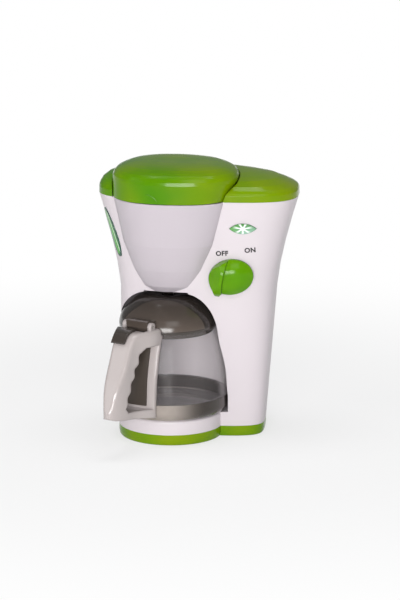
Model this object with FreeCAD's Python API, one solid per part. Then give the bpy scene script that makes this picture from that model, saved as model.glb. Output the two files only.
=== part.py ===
import FreeCAD, Part
import math
import os

# Toy coffee maker, in millimetres. The origin is on the table under the middle of the jug,
# +Z is up and the front, with the bowl and the knob, faces -Y.

Vector = FreeCAD.Vector
UP = Vector(0, 0, 1)
ACROSS = Vector(1, 0, 0)
INWARD = Vector(0, 1, 0)
ORIGIN = Vector(0, 0, 0)

# Heights above the table
BASE_HEIGHT = 8.0
PLATE_TOP = 19.0
WAIST_HEIGHT = 112.4
RIM_HEIGHT = 184.0
COVER_TOP = RIM_HEIGHT + 17.0
SHELF_HEIGHT = RIM_HEIGHT + 10.0
LID_TOP = RIM_HEIGHT + 26.0

# The column: how far it reaches from the jug's axis at its foot, its waist and its rim
COLUMN_LEFT = (-38.0, -38.0, -54.0)
COLUMN_RIGHT = (71.6, 80.0, 96.6)
COLUMN_FRONT = (-7.0, -14.0, -22.0)
COLUMN_REAR = (66.0, 66.0, 68.0)
COLUMN_LEVELS = 5
FLARE = 1.35
SIDE_LINE = 12.0
FRONT_LINE = 24.0
CORNER_FULLNESS = 0.75
WALL = 2.2
SEAM_DEPTH = 54.0

# The bowl in front of the column: radius and height, from its foot to its rim
BOWL_PROFILE = ((15.0, WAIST_HEIGHT), (19.8, WAIST_HEIGHT + 4.6), (26.2, WAIST_HEIGHT + 17.6),
                (33.4, WAIST_HEIGHT + 37.6), (40.8, RIM_HEIGHT))
BOWL_RIGHT_EXTRA = (1.5, 6.0)
BOWL_JOINT = 0.05
BOWL_FRONT_SHARE = 0.93
BOWL_FULLNESS = 0.58
NOZZLE_RADIUS = 4.0
NOZZLE_BORE = 2.0
NOZZLE_FLANGE = 7.0
NOZZLE_FLANGE_HEIGHT = 1.6

# The plate that the jug stands on
PLATE_RADIUS = 39.5
PLATE_OFFSET = 2.0
PLATE_ROUND = 2.0
BASE_ROUND = 3.5

# The jug
JUG_WALL = 1.8
JUG_LIFT = 0.3
JUG_PROFILE = ((45.2, 36.0), (44.4, 50.0), (42.0, 64.0), (39.4, 75.0), (36.4, 85.0))
JUG_FLOOR = 22.5
BAND_RADIUS = 45.6
BAND_TOP = 32.6
BAND_FOOT_RADIUS = 39.0
BAND_SHOULDER = 25.5
BAND_WALL = 1.5
COLLAR_TOP = 87.0
DOME_RADIUS = 37.2
DOME_TOP_RADIUS = 16.0
DOME_TOP = WAIST_HEIGHT - 3.6
DOME_SHOULDER = (29.4, DOME_TOP - 8.2)
DOME_WALL = 1.8
DRIP_HOLE_RADIUS = 5.0
PANEL_RISE = 0.8
RECESS_GAP = 1.0
LID_ROOM = 1.6

# The jug's handle: its direction is turned from straight ahead towards the left
HANDLE_TURN = 21.0
BOW_WIDTH = 16.8
BOW_END = 70.0
BOW_ROUND = 3.0
BROAD_TO = 40.0
FLANGE_WIDTH = 30.0
FLANGE_DEPTH = 3.0
HANDLE_TOP = 90.4
HANDLE_REACH = 90.0
FINGER_WAVES = 4
FINGER_DEPTH = 1.1
LINER_THICKNESS = 1.2
FIT_GAP = 0.1

# The lid of the jug, its lever and its pin
LEVER_WIDTH = 18.0
PIVOT_REACH = 43.5
PIVOT_HEIGHT = 92.6
PIN_RADIUS = 1.0
PIN_PLAY = 0.06
EAR_WIDTH = 3.0

# The brew lid and its hinge
LID_LEFT = -41.6
LID_RIGHT = 54.0
LID_RIM_RIGHT = 47.0
LID_FRONT = -38.2
LID_REAR = 46.0
LID_WALL = 2.0
LID_GAP = 0.5
LID_FULLNESS = 0.65
HINGE_DEPTH = 52.5
HINGE_HEIGHT = SHELF_HEIGHT + 3.0
KNUCKLE_RADIUS = 2.5
KNUCKLE_WIDTH = 9.0
HINGE_SPAN = 44.0
HINGE_MIDDLE = 6.0
HINGE_PIN_RADIUS = 1.2

# The dome of the top cover: share of its rise, draw-in on the right, rear, left and front, and
# how full its corners are
COVER_DOME = ((0.0, 0.0, 0.0, 0.0, 0.0, 0.75), (0.28, 0.0, 3.0, 0.0, 0.0, 0.74),
              (0.38, 0.8, 5.8, 0.3, 0.5, 0.73), (0.48, 3.0, 9.0, 1.0, 1.5, 0.72),
              (0.635, 8.0, 13.5, 2.6, 4.0, 0.69), (0.806, 15.6, 18.0, 6.5, 10.0, 0.65),
              (0.894, 26.0, 20.0, 12.0, 16.0, 0.62), (0.965, 37.0, 24.0, 22.0, 24.0, 0.6),
              (1.0, 50.0, 30.0, 34.0, 32.0, 0.58))

# The brew lid from its edge up: share of its height, share of its overhang, and draw-in
LID_DOME = ((0.0, 0.0, 0.0), (0.27, 0.4, 0.0), (0.545, 0.93, 0.0), (0.647, 1.0, 0.3), (0.745, 1.0, 1.6),
            (0.812, 1.0, 3.4), (0.873, 1.0, 6.5), (0.929, 1.0, 10.6), (0.965, 1.0, 16.0),
            (0.988, 1.0, 22.5), (1.0, 1.0, 30.0))

# The knob, the lens and the level window: places across and up on the front
KNOB_PLACE = (49.7, WAIST_HEIGHT + 14.0)
KNOB_RADIUS = 16.8
KNOB_FLATNESS = 0.82
KNOB_TILT = 10.0
KNOB_HEIGHT = 6.5
NOSE_REACH = 3.2
KNOB_GAP = 0.6
SEAT_TURN = 8.0
SEAT_DEPTH = 4.4
OFF_ANGLE = 20.0
SPINDLE_RADIUS = 3.0
SPINDLE_PLAY = 0.05
LENS_PLACE = (59.0, RIM_HEIGHT - 19.2)
LENS_SIZE = (20.0, 8.2)
LENS_PROUD = 0.7
WINDOW_SIZE = (9.0, 38.0)
WINDOW_CENTRE = RIM_HEIGHT - 29.0
WINDOW_TURN = 52.0
WINDOW_LEAN = 14.0
SNAP_GAP = 0.1

# Fastenings and the things inside
SCREW_RADIUS = 1.3
HEAD_RADIUS = 2.6
HEAD_HEIGHT = 1.8
BOSS_RADIUS = 3.3
SCREW_LENGTH = 9.0
REAR_BOSS = 5.5
BASE_SCREWS = ((-23.0, -20.0), (27.0, -22.0), (4.0, 58.2), (33.0, 58.6))
REAR_SCREWS = ((-10.0, 28.0), (46.0, 28.0), (-16.0, RIM_HEIGHT - 19.0), (62.0, RIM_HEIGHT - 19.0))
CELL_RADIUS = 5.25
CELL_LENGTH = 44.5
CELL_PITCH = 14.6
CELL_CENTRE = (43.0, 26.6)
CELL_NUB_RADIUS = 1.9
CELL_NUB_LENGTH = 1.0
BOX_WALL = 1.2
CONTACT_THICKNESS = 0.5
DOOR_THICKNESS = 2.4
DOOR_GAP = 0.25
DOOR_WELL = 1.6
BOARD_THICKNESS = 1.6
BOARD_OVER = 3.4
BOARD_SHIFT = 5.6
LED_RADIUS = 2.5
LED_LENGTH = 8.6
SWITCH_SIZE = (20.0, 10.0, 20.0)
SPEAKER_RADIUS = 13.0
SPEAKER_DEPTH = 5.0
SPEAKER_PLACE = (8.0, 28.0)
SOUND_HOLE_RADIUS = 1.1
SOUND_RING_RADIUS = 6.0
SOUND_HOLES = 6


def mix(low, high, share):
    return low + (high - low) * share


def corner(start, turn, end, fullness):
    # A quarter of an oval from start to end, pulled towards the corner point
    curve = Part.BezierCurve()
    first = start + (turn - start) * fullness
    second = end + (turn - end) * fullness
    curve.setPoles([start, first, second, end])
    return curve.toShape()


def oval(height, left, right, front, rear, middle, sides, fullness):
    # A closed outline through its four extremes; middle is the front's and rear's place across,
    # sides is how far back its left and right extremes lie
    at_left = Vector(left, sides[0], height)
    at_front = Vector(middle, front, height)
    at_right = Vector(right, sides[1], height)
    at_rear = Vector(middle, rear, height)
    return Part.Wire([
        corner(at_left, Vector(left, front, height), at_front, fullness),
        corner(at_front, Vector(right, front, height), at_right, fullness),
        corner(at_right, Vector(right, rear, height), at_rear, fullness),
        corner(at_rear, Vector(left, rear, height), at_left, fullness)])


def loft(wires):
    # Straight from each outline to the next, so that the skin never swells between them
    return Part.makeLoft(wires, True, True)


def revolved(points):
    # A full turn about the jug's axis of a closed outline of (radius, height) points
    outline = Part.makePolygon([Vector(r, 0, z) for r, z in points] + [Vector(points[0][0], 0, points[0][1])])
    return Part.Face(outline).revolve(ORIGIN, UP, 360)


def cylinder(radius, length, start, direction):
    return Part.makeCylinder(radius, length, start, direction)


def block(low, high):
    return Part.makeBox(high[0] - low[0], high[1] - low[1], high[2] - low[2], Vector(*low))


def fused(shapes):
    first = shapes[0]
    if len(shapes) == 1:
        return first
    return first.fuse(shapes[1:]).removeSplitter()


def column_reach(sizes, height):
    # A column size at a height: straight from foot to waist, then flaring to the rim
    if height <= WAIST_HEIGHT:
        return mix(sizes[0], sizes[1], (height - BASE_HEIGHT) / (WAIST_HEIGHT - BASE_HEIGHT))
    share = (height - WAIST_HEIGHT) / (RIM_HEIGHT - WAIST_HEIGHT)
    return mix(sizes[1], sizes[2], share ** FLARE)


def column_outline(height, inset):
    return oval(height,
                column_reach(COLUMN_LEFT, height) + inset,
                column_reach(COLUMN_RIGHT, height) - inset,
                column_reach(COLUMN_FRONT, height) + inset,
                column_reach(COLUMN_REAR, height) - inset,
                FRONT_LINE, (SIDE_LINE, SIDE_LINE), CORNER_FULLNESS)


def column(low, high, inset=0.0):
    # The column between two heights, as a foot part and a flared part
    parts = []
    if low < WAIST_HEIGHT:
        parts.append(loft([column_outline(low, inset), column_outline(min(high, WAIST_HEIGHT), inset)]))
    if high > WAIST_HEIGHT:
        start = max(low, WAIST_HEIGHT)
        steps = [mix(start, high, i / (COLUMN_LEVELS - 1)) for i in range(COLUMN_LEVELS)]
        parts.append(loft([column_outline(z, inset) for z in steps]))
    return fused(parts)


def bowl_outline(radius, height):
    extra = mix(*BOWL_RIGHT_EXTRA, (height - WAIST_HEIGHT) / (RIM_HEIGHT - WAIST_HEIGHT))
    return oval(height, -radius, radius + extra, -BOWL_FRONT_SHARE * radius, radius, 0.0,
                (-0.05 * radius, -0.35 * radius), BOWL_FULLNESS)


def bowl(inset=0.0):
    wires = []
    for radius, height in BOWL_PROFILE:
        lift = inset if height == WAIST_HEIGHT else 0.0
        wires.append(bowl_outline(radius - inset, height + lift))
    return loft(wires)


def plate_outline(low, high, inset=0.0):
    return cylinder(PLATE_RADIUS - inset, high - low, Vector(PLATE_OFFSET, 0, low), UP)


def jug_curve(extra, room):
    # The outside of the jug and its lid as one smooth line, moved outwards and more so at the lid
    points = [Vector(r + extra, 0, z) for r, z in ((BAND_RADIUS, BAND_TOP),) + JUG_PROFILE[:-1]]
    over = extra + room
    points.append(Vector(JUG_PROFILE[-1][0] + over, 0, JUG_PROFILE[-1][1]))
    points.append(Vector(DOME_SHOULDER[0] + 0.8 * over, 0, DOME_SHOULDER[1] + 0.6 * over))
    points.append(Vector(DOME_TOP_RADIUS + 0.4 * over, 0, DOME_TOP + over))
    curve = Part.BSplineCurve()
    curve.interpolate(points)
    return curve


def jug_profile(extra, roof, room=0.0):
    # The closed half outline of the space that the jug and its lid fill
    curve = jug_curve(extra, room)
    start = curve.value(curve.FirstParameter)
    end = curve.value(curve.LastParameter)
    corners = [end, Vector(end.x, 0, roof), Vector(0, 0, roof), Vector(0, 0, PLATE_TOP),
               Vector(start.x, 0, PLATE_TOP), start]
    lines = [Part.makeLine(a, b) for a, b in zip(corners, corners[1:])]
    return Part.Wire([curve.toShape()] + lines)


def jug_recess(extra):
    # The hollow that the jug stands in, and its straight way out to the front
    profile = Part.Face(jug_profile(extra, WAIST_HEIGHT + extra - RECESS_GAP, LID_ROOM))
    turned = profile.revolve(ORIGIN, UP, 360)
    way_out = profile.extrude(Vector(0, -2 * PLATE_RADIUS, 0))
    mirrored = way_out.mirror(ORIGIN, ACROSS)
    return fused([turned, way_out, mirrored])


def front_direction():
    # Into the front panel, square to its lean between the waist and the rim
    lean = math.atan2(COLUMN_FRONT[1] - COLUMN_FRONT[2], RIM_HEIGHT - WAIST_HEIGHT)
    return Vector(0, math.cos(lean), math.sin(lean))


def panel_point(across, height, proud=0.0):
    # A point on the front panel, or in front of it
    wire = column_outline(height, 0.0)
    line = Part.makeLine(Vector(across, -80, height), Vector(across, SIDE_LINE, height))
    depth = wire.distToShape(line)[1][0][0].y
    return Vector(across, depth, height) - front_direction() * proud


def knob_seat():
    # The middle of the flat seat that the knob turns on
    return panel_point(KNOB_PLACE[0], KNOB_PLACE[1], 0.4)


def almond(centre, size):
    # A pointed oval that stands in the X-Z plane
    half = size[0] / 2
    tip_a = centre - ACROSS * half
    tip_b = centre + ACROSS * half
    over = centre + UP * (size[1] / 2)
    under = centre - UP * (size[1] / 2)
    return Part.Wire([Part.Arc(tip_a, over, tip_b).toShape(), Part.Arc(tip_b, under, tip_a).toShape()])


def lens_prism(grow):
    centre = panel_point(*LENS_PLACE, 10)
    outline = almond(centre, (LENS_SIZE[0] + 4 * grow, LENS_SIZE[1] + 2 * grow))
    return Part.Face(outline).extrude(INWARD * 25)


def window_prism(grow):
    # An upright oval that faces outwards from the left front corner
    circle = Part.makeCylinder(1, 24, Vector(0, 0, -12), UP)
    matrix = FreeCAD.Matrix()
    matrix.scale(Vector(WINDOW_SIZE[0] / 2 + grow, WINDOW_SIZE[1] / 2 + grow, 1))
    prism = circle.transformGeometry(matrix)
    prism.rotate(ORIGIN, ACROSS, 90)
    prism.rotate(ORIGIN, INWARD, -WINDOW_LEAN)
    prism.rotate(ORIGIN, UP, -WINDOW_TURN)
    left = column_reach(COLUMN_LEFT, WINDOW_CENTRE)
    prism.translate(Vector(left + 3.2, -5.0, WINDOW_CENTRE))
    return prism


def plate_solid():
    plate = plate_outline(BASE_HEIGHT, PLATE_TOP)
    edge = [e for e in plate.Edges if e.BoundBox.ZMin > PLATE_TOP - 0.01]
    return plate.makeFillet(PLATE_ROUND, edge)


def floor_slab():
    # The plate's own thickness under the jug
    radius = BAND_RADIUS + RECESS_GAP + WALL
    return cylinder(radius, WALL, Vector(0, 0, PLATE_TOP - WALL), UP)


def rib_to_wall(start, end, height, thickness):
    # An upright rib from a boss to the column's wall, cut off at the wall's outside
    low = (min(start[0], end[0]) - thickness / 2, min(start[1], end[1]) - thickness / 2, height[0])
    high = (max(start[0], end[0]) + thickness / 2, max(start[1], end[1]) + thickness / 2, height[1])
    return block(low, high).common(column(BASE_HEIGHT, RIM_HEIGHT, WALL / 2))


def base_bosses(behind):
    # Screw bosses that stand down into the base: two under the plate, two at the rear wall
    low = DOOR_THICKNESS + HEAD_HEIGHT
    bosses = []
    for x, y in BASE_SCREWS:
        if (y > SEAM_DEPTH) != behind:
            continue
        top = 3 * BASE_HEIGHT if behind else PLATE_TOP - WALL / 2
        bosses.append(cylinder(BOSS_RADIUS, top - low, Vector(x, y, low), UP))
        if behind:
            bosses.append(rib_to_wall((x, y), (x, COLUMN_REAR[0]), (BASE_HEIGHT, top), WALL))
    return bosses


def base_screw_holes():
    low = DOOR_THICKNESS
    return [cylinder(SCREW_RADIUS, SCREW_LENGTH + 1, Vector(x, y, low), UP) for x, y in BASE_SCREWS]


def side_of(x):
    return COLUMN_LEFT[2] if x < SIDE_LINE else COLUMN_RIGHT[2]


def rear_bosses(behind):
    # Bosses along Y that meet at the seam; the rear ones stand on the back wall
    bosses = []
    for x, z in REAR_SCREWS:
        if behind:
            length = column_reach(COLUMN_REAR, z) - WALL / 2 - SEAM_DEPTH
            bosses.append(cylinder(BOSS_RADIUS, length, Vector(x, SEAM_DEPTH, z), INWARD))
        else:
            start = SEAM_DEPTH - REAR_BOSS
            bosses.append(cylinder(BOSS_RADIUS, REAR_BOSS, Vector(x, start, z), INWARD))
            reach = block((min(x, side_of(x)), start, z - WALL / 2), (max(x, side_of(x)), SEAM_DEPTH, z + WALL / 2))
            bosses.append(reach.common(column(BASE_HEIGHT, RIM_HEIGHT, WALL / 2)))
    return bosses


def rear_screw_holes():
    # The shank's hole runs through the seam, the head's well opens at the back
    holes = []
    for x, z in REAR_SCREWS:
        start = SEAM_DEPTH - REAR_BOSS + 1.2
        holes.append(cylinder(SCREW_RADIUS, SCREW_LENGTH + 4, Vector(x, start, z), INWARD))
        holes.append(cylinder(HEAD_RADIUS + SNAP_GAP, 40, Vector(x, SEAM_DEPTH + 4, z), INWARD))
    return holes


def seat_cut():
    # The flat round seat of the knob, sunk in the panel, and the spindle's hole
    seat = cylinder(KNOB_RADIUS + KNOB_GAP, 12, ORIGIN, UP)
    hole = cylinder(SPINDLE_RADIUS + SPINDLE_PLAY, 20, Vector(0, 0, -10), UP)
    return on_panel(seat.fuse(hole), knob_seat())


def seat_block():
    # The panel is thicker behind the seat
    pad = cylinder(KNOB_RADIUS + KNOB_GAP + WALL, 3 * WALL, Vector(0, 0, -SEAT_DEPTH), UP)
    return on_panel(pad, knob_seat()).common(column(BASE_HEIGHT, RIM_HEIGHT))


def panel_tilt():
    lean = front_direction()
    return 90 + math.degrees(math.atan2(lean.z, lean.y))


def on_panel(shape, point):
    # From a flat layout, X right, Y up and Z towards the viewer, onto the front panel
    placed = shape.copy()
    placed.rotate(ORIGIN, ACROSS, panel_tilt())
    placed.rotate(ORIGIN, UP, SEAT_TURN)
    placed.translate(point)
    return placed


def nozzle_hole():
    return cylinder(NOZZLE_RADIUS + SNAP_GAP, 3 * WALL, Vector(0, 0, WAIST_HEIGHT - WALL), UP)


def housing_shell():
    # The column and the plate as one shell, before it is split into front and rear
    outside = column(BASE_HEIGHT, RIM_HEIGHT).fuse(plate_solid())
    hollow = column(BASE_HEIGHT - 1, RIM_HEIGHT - WALL, WALL)
    hollow = hollow.fuse(plate_outline(BASE_HEIGHT - 1, PLATE_TOP - WALL, WALL))
    hollow = hollow.cut([floor_slab(), jug_recess(RECESS_GAP + WALL)])
    return outside.cut(hollow).cut([jug_recess(RECESS_GAP), bowl(-BOWL_JOINT)])


def brew_bowl():
    # The tub set into the top of the column, open at the top, with the nozzle's hole in its floor
    return bowl().cut([bowl(WALL), nozzle_hole()])


def rear_half():
    return block((-200, SEAM_DEPTH, -10), (200, 200, 300))


def front_housing(shell):
    body = shell.cut(rear_half())
    body = body.fuse(base_bosses(False) + rear_bosses(False) + [seat_block()])
    cuts = base_screw_holes() + rear_screw_holes() + [seat_cut()]
    cuts += [lens_prism(SNAP_GAP), window_prism(SNAP_GAP)]
    return body.cut(cuts)


def rear_housing(shell):
    body = shell.common(rear_half())
    body = body.fuse(base_bosses(True) + rear_bosses(True))
    return body.cut(base_screw_holes() + rear_screw_holes())


def base_levels():
    # Heights and insets of the green base's rounded lower edge
    return ((0.0, 1.0), (0.5 * BASE_ROUND / 2, 0.4), (BASE_ROUND, 0.0), (BASE_HEIGHT, 0.0))


def base_outside():
    lobes = []
    column_part = [oval(z, COLUMN_LEFT[0] + inset, COLUMN_RIGHT[0] - inset, COLUMN_FRONT[0] + inset,
                        COLUMN_REAR[0] - inset, FRONT_LINE, (SIDE_LINE, SIDE_LINE), CORNER_FULLNESS)
                   for z, inset in base_levels()]
    lobes.append(loft(column_part))
    disc = [(PLATE_RADIUS - inset, z) for z, inset in base_levels()]
    round_part = revolved([(0, 0)] + disc + [(0, BASE_HEIGHT)])
    round_part.translate(Vector(PLATE_OFFSET, 0, 0))
    lobes.append(round_part)
    return fused(lobes)


def box_bounds():
    half_x = CELL_PITCH / 2 + CELL_RADIUS + BOX_WALL
    half_y = CELL_LENGTH / 2 + CELL_NUB_LENGTH + 2 * CONTACT_THICKNESS + BOX_WALL
    return half_x, half_y


def cell_place(index):
    return CELL_CENTRE[0] + (index - 0.5) * CELL_PITCH


def cell_height():
    return DOOR_THICKNESS + BOX_WALL + CELL_RADIUS


def door_block(gap):
    half_x, half_y = box_bounds()
    lip = BOX_WALL + gap
    x, y = CELL_CENTRE
    return block((x - half_x + lip, y - half_y + lip, -1 if gap < 0 else 0),
                 (x + half_x - lip, y + half_y - lip, DOOR_THICKNESS + (1 if gap < 0 else 0)))


def base_cover():
    # A shallow green tray: floor, rounded wall, screw wells and the battery opening
    inside = loft([column_outline(z, WALL) for z in (DOOR_THICKNESS, BASE_HEIGHT + 1)])
    inside = inside.fuse(plate_outline(DOOR_THICKNESS, BASE_HEIGHT + 1, WALL))
    cover = base_outside().cut(inside)
    wells = [cylinder(HEAD_RADIUS + WALL / 2, HEAD_HEIGHT, Vector(x, y, DOOR_THICKNESS), UP)
             for x, y in BASE_SCREWS]
    cover = cover.fuse(wells)
    cuts = [cylinder(HEAD_RADIUS + SNAP_GAP, DOOR_THICKNESS + 1, Vector(x, y, -1), UP) for x, y in BASE_SCREWS]
    cuts += [cylinder(SCREW_RADIUS + SNAP_GAP, 9, Vector(x, y, 0), UP) for x, y in BASE_SCREWS]
    cuts += sound_holes()
    cuts.append(door_block(-DOOR_GAP))
    return cover.cut(cuts)


def sound_holes():
    holes = [cylinder(SOUND_HOLE_RADIUS, 9, Vector(SPEAKER_PLACE[0], SPEAKER_PLACE[1], -1), UP)]
    for i in range(SOUND_HOLES):
        turn = 2 * math.pi * i / SOUND_HOLES
        x = SPEAKER_PLACE[0] + SOUND_RING_RADIUS * math.cos(turn)
        y = SPEAKER_PLACE[1] + SOUND_RING_RADIUS * math.sin(turn)
        holes.append(cylinder(SOUND_HOLE_RADIUS, 9, Vector(x, y, -1), UP))
    return holes


def battery_door():
    # Its screw sits in a well near the front end
    door = door_block(DOOR_GAP)
    x, y = door_screw_place()
    well = cylinder(HEAD_RADIUS + SNAP_GAP, 1 + DOOR_WELL, Vector(x, y, -1), UP)
    hole = cylinder(SCREW_RADIUS + SNAP_GAP, 9, Vector(x, y, -1), UP)
    return door.cut([well.fuse(hole)])


def door_screw_place():
    return CELL_CENTRE[0], CELL_CENTRE[1] - CELL_LENGTH / 4


def battery_box():
    # A tray over the cells with a middle wall that takes the door's screw
    half_x, half_y = box_bounds()
    x, y = CELL_CENTRE
    top = cell_height() + CELL_RADIUS + BOX_WALL
    outer = block((x - half_x, y - half_y, DOOR_THICKNESS), (x + half_x, y + half_y, top))
    inner = block((x - half_x + BOX_WALL, y - half_y + BOX_WALL, 0),
                  (x + half_x - BOX_WALL, y + half_y - BOX_WALL, top - BOX_WALL + SNAP_GAP / 2))
    tray = outer.cut(inner)
    screw_x, screw_y = door_screw_place()
    post = cylinder(SCREW_RADIUS + 0.7, top - DOOR_THICKNESS, Vector(screw_x, screw_y, DOOR_THICKNESS), UP)
    cells = fused([cell(i, SNAP_GAP) for i in range(2)])
    pilot = cylinder(SCREW_RADIUS, SCREW_LENGTH, Vector(screw_x, screw_y, 0), UP)
    return tray.fuse(post).cut([cells, pilot])


def cell(index, grow=0.0):
    # The two cells lie side by side, opposite ways round
    way = 1 if index == 0 else -1
    x, y = cell_place(index), CELL_CENTRE[1]
    body = cylinder(CELL_RADIUS + grow, CELL_LENGTH, Vector(x, y - way * CELL_LENGTH / 2, cell_height()),
                    INWARD * way)
    nub = cylinder(CELL_NUB_RADIUS + grow, CELL_LENGTH + CELL_NUB_LENGTH,
                   Vector(x, y - way * CELL_LENGTH / 2, cell_height()), INWARD * way)
    return body.fuse(nub).removeSplitter()


def battery_contacts():
    # One joined plate at the rear end, two single ones at the front end
    half_y = CELL_LENGTH / 2 + CELL_NUB_LENGTH
    low = cell_height() - 4.2
    high = cell_height() + 4.2
    y = CELL_CENTRE[1]
    rear = block((cell_place(0) - 4.4, y + half_y, low), (cell_place(1) + 4.4, y + half_y + CONTACT_THICKNESS, high))
    front = [block((cell_place(i) - 4.4, y - half_y - CONTACT_THICKNESS, low),
                   (cell_place(i) + 4.4, y - half_y, high)) for i in range(2)]
    return Part.makeCompound([rear] + front)


def screw(head_at, direction, length):
    # A pan-head screw: the head's outer face is at head_at, the shank runs along direction
    head = cylinder(HEAD_RADIUS, HEAD_HEIGHT - 0.4, head_at, direction)
    shank = cylinder(SCREW_RADIUS, length, head_at, direction)
    return head.fuse(shank).removeSplitter()


def base_screws():
    low = DOOR_THICKNESS - HEAD_HEIGHT + 0.4
    return Part.makeCompound([screw(Vector(x, y, low), UP, SCREW_LENGTH) for x, y in BASE_SCREWS])


def rear_screws():
    head = SEAM_DEPTH + 4 + HEAD_HEIGHT - 0.4
    return Part.makeCompound([screw(Vector(x, head, z), INWARD * -1, SCREW_LENGTH) for x, z in REAR_SCREWS])


def door_screw():
    x, y = door_screw_place()
    return screw(Vector(x, y, DOOR_WELL - HEAD_HEIGHT + 0.4), UP, SCREW_LENGTH - 1)


def cover_outline(level, inset, drop):
    # One outline of the cover's dome, drawn in on its right, rear, left and front
    share, right, rear, left, front, fullness = level
    height = mix(RIM_HEIGHT, COVER_TOP, share) - drop
    line = SIDE_LINE + 0.35 * front
    return oval(height, COLUMN_LEFT[2] + left + inset, COLUMN_RIGHT[2] - right - inset,
                COLUMN_FRONT[2] + front + inset, COLUMN_REAR[2] - rear - inset,
                FRONT_LINE - 0.2 * right, (line, line), fullness)


def cover_loft(inset, drop):
    return loft([cover_outline(level, inset, drop) for level in COVER_DOME])


def lid_levels():
    return [(mix(RIM_HEIGHT + LID_GAP, LID_TOP, share), overhang, draw) for share, overhang, draw in LID_DOME]


def lid_outline(height, overhang, inset):
    right = mix(LID_RIM_RIGHT, LID_RIGHT, overhang)
    return oval(height, LID_LEFT + inset, right - inset, LID_FRONT + inset, LID_REAR - inset, 4.0,
                (1.0, -6.0), LID_FULLNESS)


def lid_loft(inset, drop):
    return loft([lid_outline(z - drop, overhang, draw + inset) for z, overhang, draw in lid_levels()])


def lid_clearance(grow):
    # The space that the cover leaves for the lid, open at the top
    levels = lid_levels()
    outlines = [lid_outline(z - 1.5, overhang, -grow) for z, overhang, draw in levels[:3]]
    outlines += [lid_outline(z, 1.0, -grow) for z in (levels[3][0], LID_TOP + 10)]
    return loft(outlines)


def hinge_place(x, width):
    return Vector(x - width / 2, HINGE_DEPTH, HINGE_HEIGHT)


def knuckle(x, width, radius):
    return cylinder(radius, width, hinge_place(x, width), ACROSS)


def hinge_sides():
    return (HINGE_MIDDLE - HINGE_SPAN / 2, HINGE_MIDDLE + HINGE_SPAN / 2)


def brew_lid():
    lid = lid_loft(0, 0).cut(lid_loft(LID_WALL, LID_WALL))
    parts = []
    for x in hinge_sides():
        arm = block((x - KNUCKLE_WIDTH / 2, LID_REAR - 6, HINGE_HEIGHT - KNUCKLE_RADIUS),
                    (x + KNUCKLE_WIDTH / 2, HINGE_DEPTH, HINGE_HEIGHT + KNUCKLE_RADIUS))
        parts += [arm.cut(lid_loft(LID_WALL, LID_WALL)), knuckle(x, KNUCKLE_WIDTH, KNUCKLE_RADIUS)]
    bore = knuckle(HINGE_MIDDLE, 2 * HINGE_SPAN, HINGE_PIN_RADIUS + PIN_PLAY)
    return lid.fuse(parts).cut(bore)


def cover_ears():
    # Two ears outside the lid's knuckles hold the hinge pin
    ears = []
    for side, x in zip((-1, 1), hinge_sides()):
        place = x + side * (KNUCKLE_WIDTH / 2 + 0.4 + EAR_WIDTH / 2)
        ears.append(knuckle(place, EAR_WIDTH, KNUCKLE_RADIUS))
        ears.append(block((place - EAR_WIDTH / 2, HINGE_DEPTH - KNUCKLE_RADIUS, SHELF_HEIGHT - WALL / 2),
                          (place + EAR_WIDTH / 2, HINGE_DEPTH + KNUCKLE_RADIUS, HINGE_HEIGHT)))
    return ears


def hinge_shelf(grow):
    # The flat step behind the lid that the hinge stands on, open to the rear
    reach = HINGE_SPAN / 2 + KNUCKLE_WIDTH + EAR_WIDTH + grow
    return block((HINGE_MIDDLE - reach, LID_REAR - 4 * WALL - grow, SHELF_HEIGHT - grow),
                 (HINGE_MIDDLE + reach, 2 * LID_REAR, LID_TOP))


def top_cover():
    # The green cap: a closed shell on the rim that wraps around the brew lid
    hollow = cover_loft(WALL, WALL).cut([lid_clearance(LID_GAP + WALL), hinge_shelf(WALL)])
    cover = cover_loft(0, 0).cut(hinge_shelf(0)).fuse(cover_ears()).cut([hollow, lid_clearance(LID_GAP)])
    solids = sorted(cover.Solids, key=lambda s: s.Volume)
    return solids[-1].cut(knuckle(HINGE_MIDDLE, 2 * HINGE_SPAN, HINGE_PIN_RADIUS))


def lid_hinge_pin():
    length = HINGE_SPAN + KNUCKLE_WIDTH + 2 * (0.4 + EAR_WIDTH)
    return knuckle(HINGE_MIDDLE, length, HINGE_PIN_RADIUS)


def drip_nozzle():
    # A flange on the bowl's floor and a spout through it, over the hole in the jug's lid
    floor = WAIST_HEIGHT + WALL
    points = [(NOZZLE_BORE, WAIST_HEIGHT), (NOZZLE_RADIUS, WAIST_HEIGHT), (NOZZLE_RADIUS, floor),
              (NOZZLE_FLANGE, floor), (NOZZLE_FLANGE, floor + NOZZLE_FLANGE_HEIGHT),
              (NOZZLE_BORE, floor + NOZZLE_FLANGE_HEIGHT)]
    return revolved(points)


def between_skins(prism, proud, low, high):
    # What a prism takes of the column's wall, standing a little proud of it
    outer = column(low, high, -proud)
    inner = column(low - 1, high + 1, WALL)
    return prism.common(outer).cut(inner)


def indicator_lens():
    low = LENS_PLACE[1] - LENS_SIZE[1]
    return between_skins(lens_prism(0), LENS_PROUD, low, low + 2 * LENS_SIZE[1])


def level_window():
    low = WINDOW_CENTRE - 0.7 * WINDOW_SIZE[1]
    solid = between_skins(window_prism(0), LENS_PROUD, low, RIM_HEIGHT - 1)
    return max(solid.Solids, key=lambda s: s.Volume)


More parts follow.
